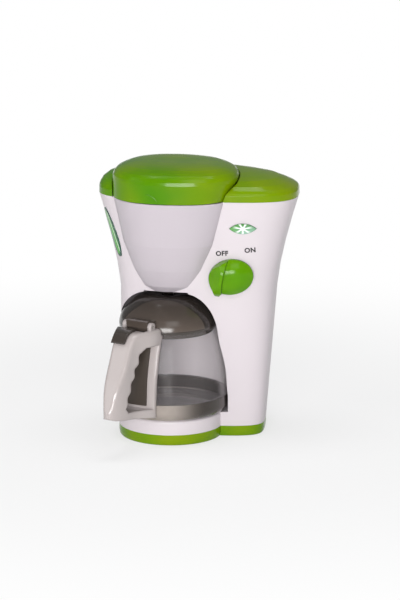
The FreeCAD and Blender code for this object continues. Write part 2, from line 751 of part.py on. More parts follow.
def knob_ridge():
    # The raised grip left of the middle: steep on its right, sloping on its left, with a nose below
    half = KNOB_FLATNESS * KNOB_RADIUS
    tip = half + NOSE_REACH
    rise = [(-KNOB_RADIUS, 2.5), (-12.5, 8.0), (-8.6, 12.0), (-6.6, 12.4), (-4.6, 4.0), (-4.6, 1.0),
            (-KNOB_RADIUS, 1.0)]
    section = Part.makePolygon([Vector(x, -30, z) for x, z in rise + [rise[0]]])
    ridge = Part.Face(section).extrude(Vector(0, 60, 0))
    over = Part.BSplineCurve()
    over.interpolate([Vector(-30, -tip, 2.0), Vector(-30, -0.6 * half, 10.5), Vector(-30, 0, 12.6),
                      Vector(-30, 0.6 * half, 10.4), Vector(-30, half - 0.4, 4.0)])
    ends = [over.value(over.LastParameter), Vector(-30, half - 0.4, 1.0), Vector(-30, -tip, 1.0),
            over.value(over.FirstParameter)]
    lines = [Part.makeLine(a, b) for a, b in zip(ends, ends[1:])]
    envelope = Part.Face(Part.Wire([over.toShape()] + lines)).extrude(Vector(60, 0, 0))
    ridge = ridge.common(envelope)
    nose = Part.makePolygon([Vector(-13.4, -0.6 * half, 0), Vector(-4.6, -0.6 * half, 0), Vector(-6.2, -tip, 0),
                             Vector(-9.2, -tip, 0), Vector(-13.4, -0.6 * half, 0)])
    plan = flattened(cylinder(KNOB_RADIUS, 20, ORIGIN, UP))
    plan.rotate(ORIGIN, UP, KNOB_TILT + OFF_ANGLE / 2)
    return ridge.common(plan.fuse(Part.Face(nose).extrude(Vector(0, 0, 20))))


def flattened(shape):
    # Pressed in from above and below, from a round plan to an oval one
    matrix = FreeCAD.Matrix()
    matrix.scale(Vector(1, KNOB_FLATNESS, 1))
    return shape.transformGeometry(matrix)


def knob_body():
    # A domed oval, higher in the middle and tilted up to the right
    outline = [(0, 0.4), (KNOB_RADIUS, 0.4), (KNOB_RADIUS, 2.6)]
    curve = Part.Arc(Vector(KNOB_RADIUS, 0, 2.6), Vector(0.62 * KNOB_RADIUS, 0, KNOB_HEIGHT), Vector(0, 0, KNOB_HEIGHT + 1.6))
    lines = [Part.makeLine(Vector(a[0], 0, a[1]), Vector(b[0], 0, b[1])) for a, b in zip(outline, outline[1:])]
    lines.append(curve.toShape())
    lines.append(Part.makeLine(Vector(0, 0, KNOB_HEIGHT + 1.6), Vector(0, 0, 0.4)))
    disc = flattened(Part.Face(Part.Wire(lines)).revolve(ORIGIN, UP, 360))
    disc.rotate(ORIGIN, UP, KNOB_TILT)
    return disc


def control_knob():
    ridge = knob_ridge()
    ridge.rotate(ORIGIN, UP, -OFF_ANGLE / 2)
    knob = knob_body().fuse(ridge)
    bore = cylinder(SPINDLE_RADIUS, 4.4, Vector(0, 0, 0), UP)
    return on_panel(knob.cut(bore), knob_seat())


def knob_spindle():
    # From inside the knob, through the panel, into the switch
    low = -SEAT_DEPTH - 5.0
    return on_panel(cylinder(SPINDLE_RADIUS, 4.0 - low, Vector(0, 0, low), UP), knob_seat())


def rotary_switch():
    wide, deep, high = SWITCH_SIZE
    body = Part.makeBox(wide, high, deep, Vector(-wide / 2, -high / 2, -SEAT_DEPTH - deep))
    bore = cylinder(SPINDLE_RADIUS + SPINDLE_PLAY, 6.0, Vector(0, 0, -SEAT_DEPTH - 6.0), UP)
    return on_panel(body.cut(bore), knob_seat())


def circuit_board():
    # It stands upright behind the switch, with the lamp near its top
    wide, deep, high = SWITCH_SIZE
    top = LENS_PLACE[1] - KNOB_PLACE[1] + 6
    board = Part.makeBox(wide + BOARD_OVER, top + high / 2, BOARD_THICKNESS,
                         Vector(BOARD_SHIFT - wide / 2, -high / 2, -SEAT_DEPTH - deep - BOARD_THICKNESS))
    return on_panel(board, knob_seat())


def lamp():
    # A round-nosed lamp on two short legs behind the lens
    x = LENS_PLACE[0] - KNOB_PLACE[0]
    y = LENS_PLACE[1] - KNOB_PLACE[1]
    foot = -SEAT_DEPTH - SWITCH_SIZE[1]
    body = cylinder(LED_RADIUS, LED_LENGTH - LED_RADIUS, Vector(x, y, foot), UP)
    nose = Part.makeSphere(LED_RADIUS, Vector(x, y, foot + LED_LENGTH - LED_RADIUS))
    return on_panel(body.fuse(nose).removeSplitter(), knob_seat())


def speaker():
    x, y = SPEAKER_PLACE
    frame = cylinder(SPEAKER_RADIUS, SPEAKER_DEPTH, Vector(x, y, DOOR_THICKNESS), UP)
    cone = Part.makeCone(SPEAKER_RADIUS - 1.5, 3.0, SPEAKER_DEPTH - 2, Vector(x, y, DOOR_THICKNESS), UP)
    return frame.cut(cone)


def glass_outside(extra, low):
    # The clear body's outer skin down to a height, as a solid of revolution
    curve = Part.BSplineCurve()
    curve.interpolate([Vector(r + extra, 0, z) for r, z in ((BAND_RADIUS - 0.2, BAND_TOP),) + JUG_PROFILE])
    start = curve.value(curve.FirstParameter)
    end = curve.value(curve.LastParameter)
    corners = [end, Vector(0, 0, end.z), Vector(0, 0, low), Vector(start.x, 0, low), start]
    lines = [Part.makeLine(a, b) for a, b in zip(corners, corners[1:]) if (b - a).Length > 1e-6]
    return Part.Face(Part.Wire([curve.toShape()] + lines)).revolve(ORIGIN, UP, 360)


def jug_body():
    foot_radius = BAND_RADIUS - BAND_WALL - SNAP_GAP
    floor = JUG_FLOOR + JUG_WALL
    body = glass_outside(0, BAND_TOP + SNAP_GAP)
    body = body.fuse(cylinder(foot_radius, BAND_TOP + 1 - JUG_FLOOR, Vector(0, 0, JUG_FLOOR), UP))
    inner = glass_outside(-JUG_WALL - 0.2, BAND_TOP)
    low = cylinder(foot_radius - JUG_WALL, BAND_TOP + 1 - floor, Vector(0, 0, floor), UP)
    high = cylinder(JUG_PROFILE[-1][0] - JUG_WALL - 0.2, 5, Vector(0, 0, JUG_PROFILE[-1][1] - 1), UP)
    return body.cut([inner, low, high])


def jug_band():
    # The dark foot: a rounded cup with stepped rings that the clear body sits in
    foot = PLATE_TOP + JUG_LIFT
    outer = Part.Arc(Vector(BAND_FOOT_RADIUS, 0, foot), Vector(43.8, 0, foot + 1.9),
                     Vector(BAND_RADIUS, 0, BAND_SHOULDER)).toShape()
    inner_radius = BAND_RADIUS - BAND_WALL
    seat = JUG_FLOOR - SNAP_GAP
    steps = [(BAND_RADIUS, BAND_SHOULDER), (BAND_RADIUS, BAND_TOP), (inner_radius, BAND_TOP), (inner_radius, seat),
             (39.0, seat), (39.0, seat - 0.7), (32.0, seat - 0.7), (32.0, seat - 1.4), (20.0, seat - 1.4),
             (20.0, seat - 0.6), (0.0, seat - 0.6), (0.0, foot), (BAND_FOOT_RADIUS, foot)]
    lines = [Part.makeLine(Vector(a[0], 0, a[1]), Vector(b[0], 0, b[1])) for a, b in zip(steps, steps[1:])]
    return Part.Face(Part.Wire([outer] + lines)).revolve(ORIGIN, UP, 360)


def jug_collar():
    top = JUG_PROFILE[-1][1]
    plug = JUG_PROFILE[-1][0] - JUG_WALL - 0.4
    return revolved([(plug - 1.2, top - 4), (plug, top - 4), (plug, top + 0.02), (DOME_RADIUS, top + 0.02),
                     (DOME_RADIUS, COLLAR_TOP), (plug - 1.2, COLLAR_TOP)])


def dome_solid(extra):
    # The lid's dome from the collar up to its flat top
    curve = Part.BSplineCurve()
    curve.interpolate([Vector(DOME_RADIUS + extra, 0, COLLAR_TOP + 0.15),
                       Vector(DOME_SHOULDER[0] + 0.8 * extra, 0, DOME_SHOULDER[1] + 0.6 * extra),
                       Vector(DOME_TOP_RADIUS + 0.3 * extra, 0, DOME_TOP + extra)],
                      InitialTangent=Vector(-0.1, 0, 1), FinalTangent=Vector(-1, 0, 0.12))
    corners = [curve.value(curve.LastParameter), Vector(0, 0, DOME_TOP + extra), Vector(0, 0, COLLAR_TOP + 0.15),
               curve.value(curve.FirstParameter)]
    lines = [Part.makeLine(a, b) for a, b in zip(corners, corners[1:])]
    return Part.Face(Part.Wire([curve.toShape()] + lines)).revolve(ORIGIN, UP, 360)


def along_handle(shape):
    turned = shape.copy()
    turned.rotate(ORIGIN, UP, -HANDLE_TURN)
    return turned


def jug_lid():
    # A dome with a raised front segment, a sunk drip hole and a plug ring
    panel = dome_solid(PANEL_RISE).common(block((-60, -60, COLLAR_TOP), (60, -21.5, 120)))
    inside = dome_solid(-DOME_WALL)
    plug_radius = JUG_PROFILE[-1][0] - JUG_WALL - 0.4 - 1.2 - 1.0
    plug = revolved([(plug_radius - 1.5, 84.0), (plug_radius, 84.0), (plug_radius, 92.0), (plug_radius - 1.5, 92.0)])
    dish = Part.makeCone(DRIP_HOLE_RADIUS, DOME_TOP_RADIUS - 3, 1.2, Vector(0, 0, DOME_TOP - 1.2), UP)
    hole = cylinder(DRIP_HOLE_RADIUS, 10, Vector(0, 0, DOME_TOP - 6), UP)
    shell = dome_solid(0).fuse(panel).cut(inside)
    return shell.fuse(plug.cut(block((-60, -60, 91), (60, 60, 120)))).cut([dish, hole])


def dome_ring():
    # A thin web joins the plug ring to the dome's edge
    radius = DOME_RADIUS - 0.6
    return revolved([(30.0, COLLAR_TOP + 0.15), (radius, COLLAR_TOP + 0.15), (radius, COLLAR_TOP + 1.6),
                     (30.0, COLLAR_TOP + 1.6)])


def lid_lever():
    # A broad arm over the handle with a raised thumb tab, turning between the handle's ears
    half = LEVER_WIDTH / 2
    side = [(-31.0, 88.3), (-PIVOT_REACH, 88.3), (-PIVOT_REACH - 2.6, PIVOT_HEIGHT), (-PIVOT_REACH - 3.4, 96.6),
            (-PIVOT_REACH - 0.8, 97.0), (-38.5, 95.4), (-31.0, 95.4)]
    outline = Part.makePolygon([Vector(-half, y, z) for y, z in side + [side[0]]])
    arm = Part.Face(outline).extrude(Vector(LEVER_WIDTH, 0, 0))
    arm = arm.fuse(cylinder(2.6, LEVER_WIDTH, Vector(-half, -PIVOT_REACH, PIVOT_HEIGHT), ACROSS))
    bore = cylinder(PIN_RADIUS + PIN_PLAY, LEVER_WIDTH + 2, Vector(-half - 1, -PIVOT_REACH, PIVOT_HEIGHT), ACROSS)
    return along_handle(arm.cut(bore))


def handle_side(grow=0.0):
    # The handle's outline from the side: a bow that leans outwards towards its foot
    outer = Part.BSplineCurve()
    outer.interpolate([Vector(0, -57.0, HANDLE_TOP + grow), Vector(0, -64.5 - grow, HANDLE_TOP - 3 + 0.6 * grow),
                       Vector(0, -75.3 - grow, 69.0), Vector(0, -86.3 - grow, 48.0),
                       Vector(0, -HANDLE_REACH - grow, 36.5), Vector(0, -85.5 - 0.5 * grow, 29.6 - grow)],
                      InitialTangent=Vector(0, -1, 0), FinalTangent=Vector(0, 1, -0.25))
    ends = [outer.value(outer.LastParameter), Vector(0, -40, 23.0 - grow), Vector(0, -30, 23.0 - grow),
            Vector(0, -30, HANDLE_TOP + grow), outer.value(outer.FirstParameter)]
    lines = [Part.makeLine(a, b) for a, b in zip(ends, ends[1:])]
    return Part.Face(Part.Wire([outer.toShape()] + lines))


def finger_opening():
    # The gap for the fingers; its outer edge is waved
    top = Vector(0, -57.5, 76.0)
    foot = Vector(0, -75.8, 37.0)
    run = foot - top
    across = Vector(0, -run.z, run.y).normalize() * -1
    steps = 4 * FINGER_WAVES
    points = []
    for i in range(steps + 1):
        share = i / steps
        bump = FINGER_DEPTH * math.sin(2 * math.pi * FINGER_WAVES * share)
        points.append(top + run * share + across * bump)
    wave = Part.BSplineCurve()
    wave.interpolate(points)
    corners = [points[-1], Vector(0, -72.5, 33.0), Vector(0, -40, 30.0), Vector(0, -38, 78.5), Vector(0, -53.0, 79.0),
               points[0]]
    lines = [Part.makeLine(a, b) for a, b in zip(corners, corners[1:])]
    return Part.Face(Part.Wire([wave.toShape()] + lines))


def handle_plan(grow=0.0):
    # The handle from above: broad at the jug, sweeping in to the bow, with an oval outer end
    wide = FLANGE_WIDTH / 2 + grow
    slim = BOW_WIDTH / 2 + grow
    reach = HANDLE_REACH + 0.5 + grow
    broad = Vector(wide, -BROAD_TO, 0)
    inner = Vector(wide, -30, 0)
    sweep = Part.BezierCurve()
    sweep.setPoles([broad, Vector(wide, -54, 0), Vector(slim, -56, 0), Vector(slim, -BOW_END, 0)])
    side = sweep.toShape()
    middle = Vector(0, -BOW_END, 0)
    end = Part.Ellipse(Vector(0, -reach, 0), Vector(slim, -BOW_END, 0), middle).toShape(-math.pi / 2, math.pi / 2)
    lines = [Part.makeLine(broad, inner), Part.makeLine(inner, inner - ACROSS * (2 * wide)),
             Part.makeLine(inner - ACROSS * (2 * wide), broad - ACROSS * (2 * wide))]
    edges = Part.__sortEdges__([side, side.mirror(ORIGIN, ACROSS), end] + lines)
    return Part.Face(Part.Wire(edges)).extrude(Vector(0, 0, 120))


def across_handle(face, width=80.0):
    moved = face.extrude(Vector(width, 0, 0))
    moved.translate(Vector(-width / 2, 0, 0))
    return moved


def jug_space(extra):
    # The jug's outside, used to fit the handle to it
    return Part.Face(jug_profile(extra, WAIST_HEIGHT)).revolve(ORIGIN, UP, 360)


def cap_space():
    # The left part of the handle's top, which the thumb rest covers
    return block((-30, -80, 84.0), (2.4, -PIVOT_REACH - 8.2, 120))


def handle_ears():
    ears = []
    for side in (-1, 1):
        start = side * (LEVER_WIDTH / 2 + 0.3) + (0 if side > 0 else -EAR_WIDTH)
        disc = cylinder(3.3, EAR_WIDTH, Vector(start, -PIVOT_REACH, PIVOT_HEIGHT), ACROSS)
        web = block((start, -PIVOT_REACH - 3.3, HANDLE_TOP - 4), (start + EAR_WIDTH, -PIVOT_REACH + 3.3, PIVOT_HEIGHT))
        ears += [disc, web]
    return ears


def handle_blank():
    # The bow's long outer edges are rounded off
    blank = across_handle(handle_side()).common(handle_plan())
    boxes = [(edge, edge.BoundBox) for edge in blank.Edges]
    outer = [edge for edge, box in boxes if box.YMin < 10 - BOW_END and box.ZLength > 8 and box.YLength > 1]
    return blank.makeFillet(BOW_ROUND, outer)


def jug_handle():
    blank = handle_blank().fuse(handle_ears())
    flange = jug_space(FLANGE_DEPTH).common(handle_plan()).common(
        block((-40, -60, 26.0), (40, -20, HANDLE_TOP - 6)))
    body = blank.cut(across_handle(finger_opening())).fuse(flange)
    pocket = block((-LEVER_WIDTH / 2 - 0.3, -PIVOT_REACH - 8.0, PIVOT_HEIGHT - 4.9),
                   (LEVER_WIDTH / 2 + 0.3, -20, 120))
    pin_hole = cylinder(PIN_RADIUS, 60, Vector(-30, -PIVOT_REACH, PIVOT_HEIGHT), ACROSS)
    body = body.cut([jug_space(FIT_GAP), pocket, cap_space(), pin_hole, lid_room()])
    return along_handle(max(body.Solids, key=lambda s: s.Volume))


def lid_room():
    # Room for the lid's edge beside the handle's top
    return cylinder(DOME_RADIUS + PANEL_RISE + 0.6, 60, Vector(0, 0, JUG_PROFILE[-1][1] - 0.2), UP)


def thumb_rest():
    # The dark cap over the left of the handle's top, a little higher than the handle
    cap = across_handle(handle_side(1.6)).common(handle_plan(0.2))
    cap = cap.cut(across_handle(finger_opening()))
    space = block((-30, -80, 84.0 + FIT_GAP), (2.4 - FIT_GAP, -PIVOT_REACH - 8.2 - FIT_GAP, 120))
    return along_handle(cap.common(space))


def grip_liner():
    # The dark lining on the jug's side of the finger gap
    skin = jug_space(FLANGE_DEPTH + LINER_THICKNESS).cut(jug_space(FLANGE_DEPTH + FIT_GAP / 2))
    window = block((-FLANGE_WIDTH / 2 + 2, -80, 33.0), (FLANGE_WIDTH / 2 - 6, -30, 76.0))
    return along_handle(skin.common(window))


def lid_pin():
    length = LEVER_WIDTH + 2 * (0.3 + EAR_WIDTH)
    return along_handle(cylinder(PIN_RADIUS, length, Vector(-length / 2, -PIVOT_REACH, PIVOT_HEIGHT), ACROSS))


def lid_parts():
    dome = jug_lid()
    lever = lid_lever().cut(dome_solid(-DOME_WALL))
    return dome.fuse([dome_ring(), lever])


def all_parts():
    shell = housing_shell()
    return {
        "front_housing": front_housing(shell),
        "rear_housing": rear_housing(shell),
        "brew_bowl": brew_bowl(),
        "base_cover": base_cover(),
        "top_cover": top_cover(),
        "brew_lid": brew_lid(),
        "lid_hinge_pin": lid_hinge_pin(),
        "drip_nozzle": drip_nozzle(),
        "indicator_lens": indicator_lens(),
        "level_window": level_window(),
        "control_knob": control_knob(),
        "knob_spindle": knob_spindle(),
        "rotary_switch": rotary_switch(),
        "circuit_board": circuit_board(),
        "lamp": lamp(),
        "speaker": speaker(),
        "battery_box": battery_box(),
        "battery_door": battery_door(),
        "battery_contacts": battery_contacts(),
        "batteries": Part.makeCompound([cell(0), cell(1)]),
        "base_screws": base_screws(),
        "rear_screws": rear_screws(),
        "door_screw": door_screw(),
        "jug_body": jug_body(),
        "jug_band": jug_band(),
        "jug_collar": jug_collar(),
        "jug_handle": jug_handle(),
        "thumb_rest": thumb_rest(),
        "grip_liner": grip_liner(),
        "jug_lid": lid_parts(),
        "jug_lid_pin": lid_pin(),
    }


def main():
    os.makedirs("parts", exist_ok=True)
    for name, shape in all_parts().items():
        print(name, "valid" if shape.isValid() else "INVALID", len(shape.Solids), round(shape.Volume, 1))
        shape.exportStep("parts/" + name + ".step")


main()
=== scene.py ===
import math
import bpy
import bmesh
from mathutils import Vector, Matrix
from mathutils.bvhtree import BVHTree

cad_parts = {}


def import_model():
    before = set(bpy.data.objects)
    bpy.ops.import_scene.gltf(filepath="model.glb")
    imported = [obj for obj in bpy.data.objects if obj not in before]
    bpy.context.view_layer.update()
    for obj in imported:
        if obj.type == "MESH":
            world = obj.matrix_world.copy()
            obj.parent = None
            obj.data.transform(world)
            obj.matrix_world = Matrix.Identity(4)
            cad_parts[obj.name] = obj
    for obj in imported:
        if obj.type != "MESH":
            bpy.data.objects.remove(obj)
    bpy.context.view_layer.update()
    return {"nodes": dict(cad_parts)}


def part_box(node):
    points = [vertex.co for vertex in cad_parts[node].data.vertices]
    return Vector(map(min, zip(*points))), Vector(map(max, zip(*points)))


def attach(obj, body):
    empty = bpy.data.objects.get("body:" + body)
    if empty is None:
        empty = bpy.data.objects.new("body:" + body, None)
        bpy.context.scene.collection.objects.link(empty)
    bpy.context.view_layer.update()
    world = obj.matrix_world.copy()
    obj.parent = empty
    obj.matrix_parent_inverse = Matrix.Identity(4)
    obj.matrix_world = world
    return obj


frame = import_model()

NODES = frame["nodes"]
MM = 0.001

# The level window faces to the front left and leans: its angles and half sizes, as in the solids
WINDOW_TURN = math.radians(52.0)
WINDOW_LEAN = math.radians(14.0)
WINDOW_HALF = (0.0045, 0.019)


# Colours

def lin(r, g, b, a=1.0):
    # From 0-255 values to Blender's linear ones
    out = []
    for v in (r, g, b):
        v = v / 255.0
        out.append(v / 12.92 if v <= 0.04045 else ((v + 0.055) / 1.055) ** 2.4)
    return (out[0], out[1], out[2], a)


def shade(colour, k):
    return (colour[0] * k, colour[1] * k, colour[2] * k, 1.0)


# Materials

class Graph:
    # A material with its node tree and short calls for adding nodes
    def __init__(self, name):
        self.mat = bpy.data.materials.new(name)
        self.mat.use_nodes = True
        self.tree = self.mat.node_tree
        self.tree.nodes.clear()
        self.out = self.tree.nodes.new("ShaderNodeOutputMaterial")

    def node(self, kind, **values):
        made = self.tree.nodes.new(kind)
        for key, value in values.items():
            if hasattr(made, key):
                setattr(made, key, value)
            else:
                made.inputs[key].default_value = value
        return made

    def link(self, a, b):
        self.tree.links.new(a, b)

    def coords(self):
        return self.node("ShaderNodeTexCoord").outputs["Object"]

    def axes(self):
        # The object's own x, y and z
        parts = self.node("ShaderNodeSeparateXYZ")
        self.link(self.coords(), parts.inputs[0])
        return parts.outputs

    def noise(self, scale, detail=3.0):
        made = self.node("ShaderNodeTexNoise")
        made.inputs["Scale"].default_value = scale
        made.inputs["Detail"].default_value = detail
        self.link(self.coords(), made.inputs["Vector"])
        return made.outputs["Fac"]

    def span(self, value, low, high, to_low, to_high, smooth=False):
        made = self.node("ShaderNodeMapRange")
        if smooth:
            made.interpolation_type = "SMOOTHSTEP"
        for i, v in ((1, low), (2, high), (3, to_low), (4, to_high)):
            made.inputs[i].default_value = v
        self.link(value, made.inputs[0])
        return made.outputs[0]

    def math(self, operation, a, b=None):
        made = self.node("ShaderNodeMath")
        made.operation = operation
        for i, v in enumerate((a, b)):
            if v is None:
                continue
            if isinstance(v, (int, float)):
                made.inputs[i].default_value = v
            else:
                self.link(v, made.inputs[i])
        return made.outputs[0]

    def turned(self, a, b, angle):
        # a, with its axis turned towards b's by an angle
        kept = self.math("MULTIPLY", a, math.cos(angle))
        return self.math("ADD", kept, self.math("MULTIPLY", b, math.sin(angle)))

    def length(self, a, b):
        squares = self.math("ADD", self.math("MULTIPLY", a, a), self.math("MULTIPLY", b, b))
        return self.math("SQRT", squares)

    def mix(self, fac, a, b):
        made = self.node("ShaderNodeMix")
        made.data_type = "RGBA"
        for name, v in (("Factor_Float", fac), ("A_Color", a), ("B_Color", b)):
            socket = [s for s in made.inputs if s.identifier == name][0]
            if isinstance(v, (tuple, list, float, int)):
                socket.default_value = v
            else:
                self.link(v, socket)
        return [s for s in made.outputs if s.identifier == "Result_Color"][0]

    def eased(self, radius):
        # Normals that round an edge off by a radius, or none
        if not radius:
            return None
        made = self.node("ShaderNodeBevel", samples=6)
        made.inputs["Radius"].default_value = radius
        return made.outputs["Normal"]

    def bump(self, height, strength, distance, normal=None):
        made = self.node("ShaderNodeBump")
        if normal:
            self.link(normal, made.inputs["Normal"])
        made.inputs["Strength"].default_value = strength
        made.inputs["Distance"].default_value = distance
        self.link(height, made.inputs["Height"])
        return made.outputs["Normal"]

    def shader(self, **values):
        made = self.node("ShaderNodeBsdfPrincipled")
        for key, value in values.items():
            made.inputs[key.replace("_", " ")].default_value = value
        self.link(made.outputs[0], self.out.inputs["Surface"])
        return made


# Noise scales that the plastics share: drift of tone, unevenness of gloss, moulding grain and slow waves
DRIFT = 14.0
UNEVEN = 45.0
GRAIN = 2600.0
WAVE = 60.0
WAVE_SHARE = 0.12
BUMP_STRENGTH = 0.25
BUMP_DEPTH = 0.0004
GLOSS_SPREAD = 0.05
COAT_ROUGHNESS = 0.08


def moulded(name, colour, other=None, rough=0.28, tone=0.03, grain=0.05, coat=0.0, specular=0.5,
            metallic=0.0, edge=0.0):
    # Moulded plastic: a slight drift of tone, softly uneven gloss, a fine moulding grain and eased edges
    g = Graph(name)
    s = g.shader(Specular_IOR_Level=specular, Metallic=metallic, Coat_Weight=coat,
                 Coat_Roughness=COAT_ROUGHNESS)
    drift = g.span(g.noise(DRIFT), 0.3, 0.7, 0.0, 1.0)
    one = other or shade(colour, 1 - tone)
    g.link(g.mix(drift, one, shade(colour, 1 + tone)), s.inputs["Base Color"])
    gloss = g.span(g.noise(UNEVEN, 4.0), 0.25, 0.75, rough - GLOSS_SPREAD, rough + GLOSS_SPREAD)
    g.link(gloss, s.inputs["Roughness"])
    fine = g.math("MULTIPLY", g.noise(GRAIN, 2.0), grain)
    wave = g.math("MULTIPLY", g.noise(WAVE, 1.0), WAVE_SHARE)
    height = g.math("ADD", fine, wave)
    g.link(g.bump(height, BUMP_STRENGTH, BUMP_DEPTH, g.eased(edge)), s.inputs["Normal"])
    return g.mat


def metal(name, colour, rough):
    g = Graph(name)
    s = g.shader(Metallic=1.0)
    g.link(g.mix(g.noise(300.0, 3.0), shade(colour, 0.85), shade(colour, 1.1)), s.inputs["Base Color"])
    g.link(g.span(g.noise(900.0, 3.0), 0.3, 0.7, rough * 0.7, rough * 1.3), s.inputs["Roughness"])
    return g.mat


WHITE = lin(207, 199, 203)
GREEN = lin(60, 126, 0)
# A yellower green, spread over the green plastic in noise patches as painted sheen of highlights
SHEEN_GREEN = lin(124, 146, 0)
LEAF = lin(112, 160, 2)
DARK = lin(58, 51, 46)
GREY = lin(176, 167, 165)
INK = lin(42, 40, 42)

white = moulded("white_plastic", WHITE, rough=0.34, tone=0.008, grain=0.10, specular=0.35)
# The bowl and nozzle take the housing's white made darker: painted shade that evens out the stronger light on
# the bowl
bowl_white_shaded = moulded("bowl_plastic_shaded", lin(186, 178, 184), rough=0.34, tone=0.008, grain=0.10, specular=0.35)
# The green plastic's yellower noise patches are painted sheen of highlights, not a tint of the plastic
green = moulded("green_plastic", SHEEN_GREEN, GREEN, rough=0.17, coat=0.03, specular=0.14, edge=0.0006)
knob_green = moulded("knob_plastic", LEAF, GREEN, rough=0.17, coat=0.03, specular=0.14, edge=0.0006)
dark = moulded("dark_plastic", DARK, rough=0.20, tone=0.08, coat=0.3, edge=0.0012)
grey = moulded("grey_plastic", GREY, rough=0.20, tone=0.04, coat=0.3, edge=0.0022)
liner = moulded("liner_plastic", lin(60, 51, 43), rough=0.5, tone=0.12, grain=0.25)
steel = metal("screw_steel", lin(190, 188, 184), 0.3)
brass = metal("contact_strip", lin(205, 200, 186), 0.25)
black = moulded("inner_black", lin(34, 33, 33), rough=0.5)
pale = moulded("inner_pale", lin(214, 211, 205), rough=0.45)
board = moulded("board_lacquer", lin(38, 96, 52), rough=0.3, tone=0.15)
wrap = moulded("cell_wrap", lin(70, 76, 88), rough=0.3, metallic=0.4)


# The lighter sector of the jug's lid: where it ends towards the rear, and the heights over which it fades
SECTOR_REAR = (-0.0225, -0.0205)
SECTOR_RISE = (0.087, 0.104)
SECTOR = lin(88, 78, 71)


def lid_dark():
    # The jug's lid: near black, with a lighter brown-grey front sector
    g = Graph("jug_lid_plastic")
    s = g.shader(Specular_IOR_Level=0.3, Coat_Weight=0.15, Coat_Roughness=COAT_ROUGHNESS)
    axes = g.axes()
    front = g.span(axes[1], *SECTOR_REAR, 1.0, 0.0, True)
    rise = g.span(axes[2], *SECTOR_RISE, 1.0, 0.35)
    drift = g.span(g.noise(40.0), 0.3, 0.7, 0.0, 1.0)
    base = g.mix(drift, shade(DARK, 0.5), shade(DARK, 0.7))
    g.link(g.mix(g.math("MULTIPLY", front, rise), base, SECTOR), s.inputs["Base Color"])
    g.link(g.span(g.noise(UNEVEN, 4.0), 0.25, 0.75, 0.16, 0.26), s.inputs["Roughness"])
    return g.mat


# The jug's foot: where painted shade darkens its outside to the right, the height of its floor, and the radius
# that its inner face stays within, from one height to the next
BAND_SHADE_SPAN = (0.004, 0.034)
BAND_FLOOR = (0.0211, 0.0213)
BAND_RISE = (0.0220, 0.0245)
BAND_INNER = (0.0434, 0.0451)


def band_dark():
    # Silvery brown outside in front, brightened there by a painted reflection; painted shade darkens it to its
    # right and inside
    g = Graph("band_plastic")
    s = g.shader(Metallic=0.35, Coat_Weight=0.4, Coat_Roughness=0.06)
    axes = g.axes()
    right = g.span(axes[0], *BAND_SHADE_SPAN, 0.0, 1.0, True)
    skin = g.span(axes[2], *BAND_RISE, *BAND_INNER)
    within = g.math("LESS_THAN", g.length(axes[0], axes[1]), skin)
    inside = g.math("MULTIPLY", within, g.span(axes[2], *BAND_FLOOR, 0.0, 1.0))
    # Painted shade: dark where the foot turns away to the right, and on its inner face and floor
    painted_shade = g.math("MAXIMUM", right, inside)
    streak = g.mix(g.span(g.noise(30.0), 0.35, 0.65, 0.0, 1.0), lin(128, 118, 110), lin(168, 158, 150))
    g.link(g.mix(painted_shade, streak, lin(50, 42, 36)), s.inputs["Base Color"])
    g.link(g.span(g.noise(UNEVEN, 4.0), 0.25, 0.75, 0.16, 0.28), s.inputs["Roughness"])
    return g.mat


PLASTIC_IOR = 1.46
# How opaque the clear plastic is where it faces the eye and at its edges, and the share of that which is left
# out when it casts shade or soft light
CLEAR_OPACITY = (0.03, 0.72)
SHADE_LOST = 0.9


def clear(name, middle, edge):
    # Thin clear plastic: light passes straight through, and it thickens and darkens towards its edges
    g = Graph(name)
    s = g.shader(IOR=PLASTIC_IOR, Coat_Weight=0.5, Coat_Roughness=0.04)
    facing = g.node("ShaderNodeLayerWeight", Blend=0.5).outputs["Facing"]
    path = g.node("ShaderNodeLightPath")
    soft = g.math("MAXIMUM", path.outputs["Is Shadow Ray"], path.outputs["Is Diffuse Ray"])
    seen = g.math("SUBTRACT", 1.0, g.math("MULTIPLY", soft, SHADE_LOST))
    g.link(g.math("MULTIPLY", g.span(facing, 0.5, 1.0, *CLEAR_OPACITY), seen), s.inputs["Alpha"])
    drift = g.mix(g.noise(20.0, 2.0), shade(middle, 0.97), middle)
    g.link(g.mix(g.span(facing, 0.6, 1.0, 0.0, 1.0), drift, edge), s.inputs["Base Color"])
    g.link(g.span(g.noise(60.0, 2.0), 0.3, 0.7, 0.05, 0.10), s.inputs["Roughness"])
    return g.mat


# The indicator lens: its half sizes, how much wider than tall its rays are, and their number
LENS_HALF = (0.010, 0.0041)
RAY_STRETCH = 1.9
RAYS = 7.0


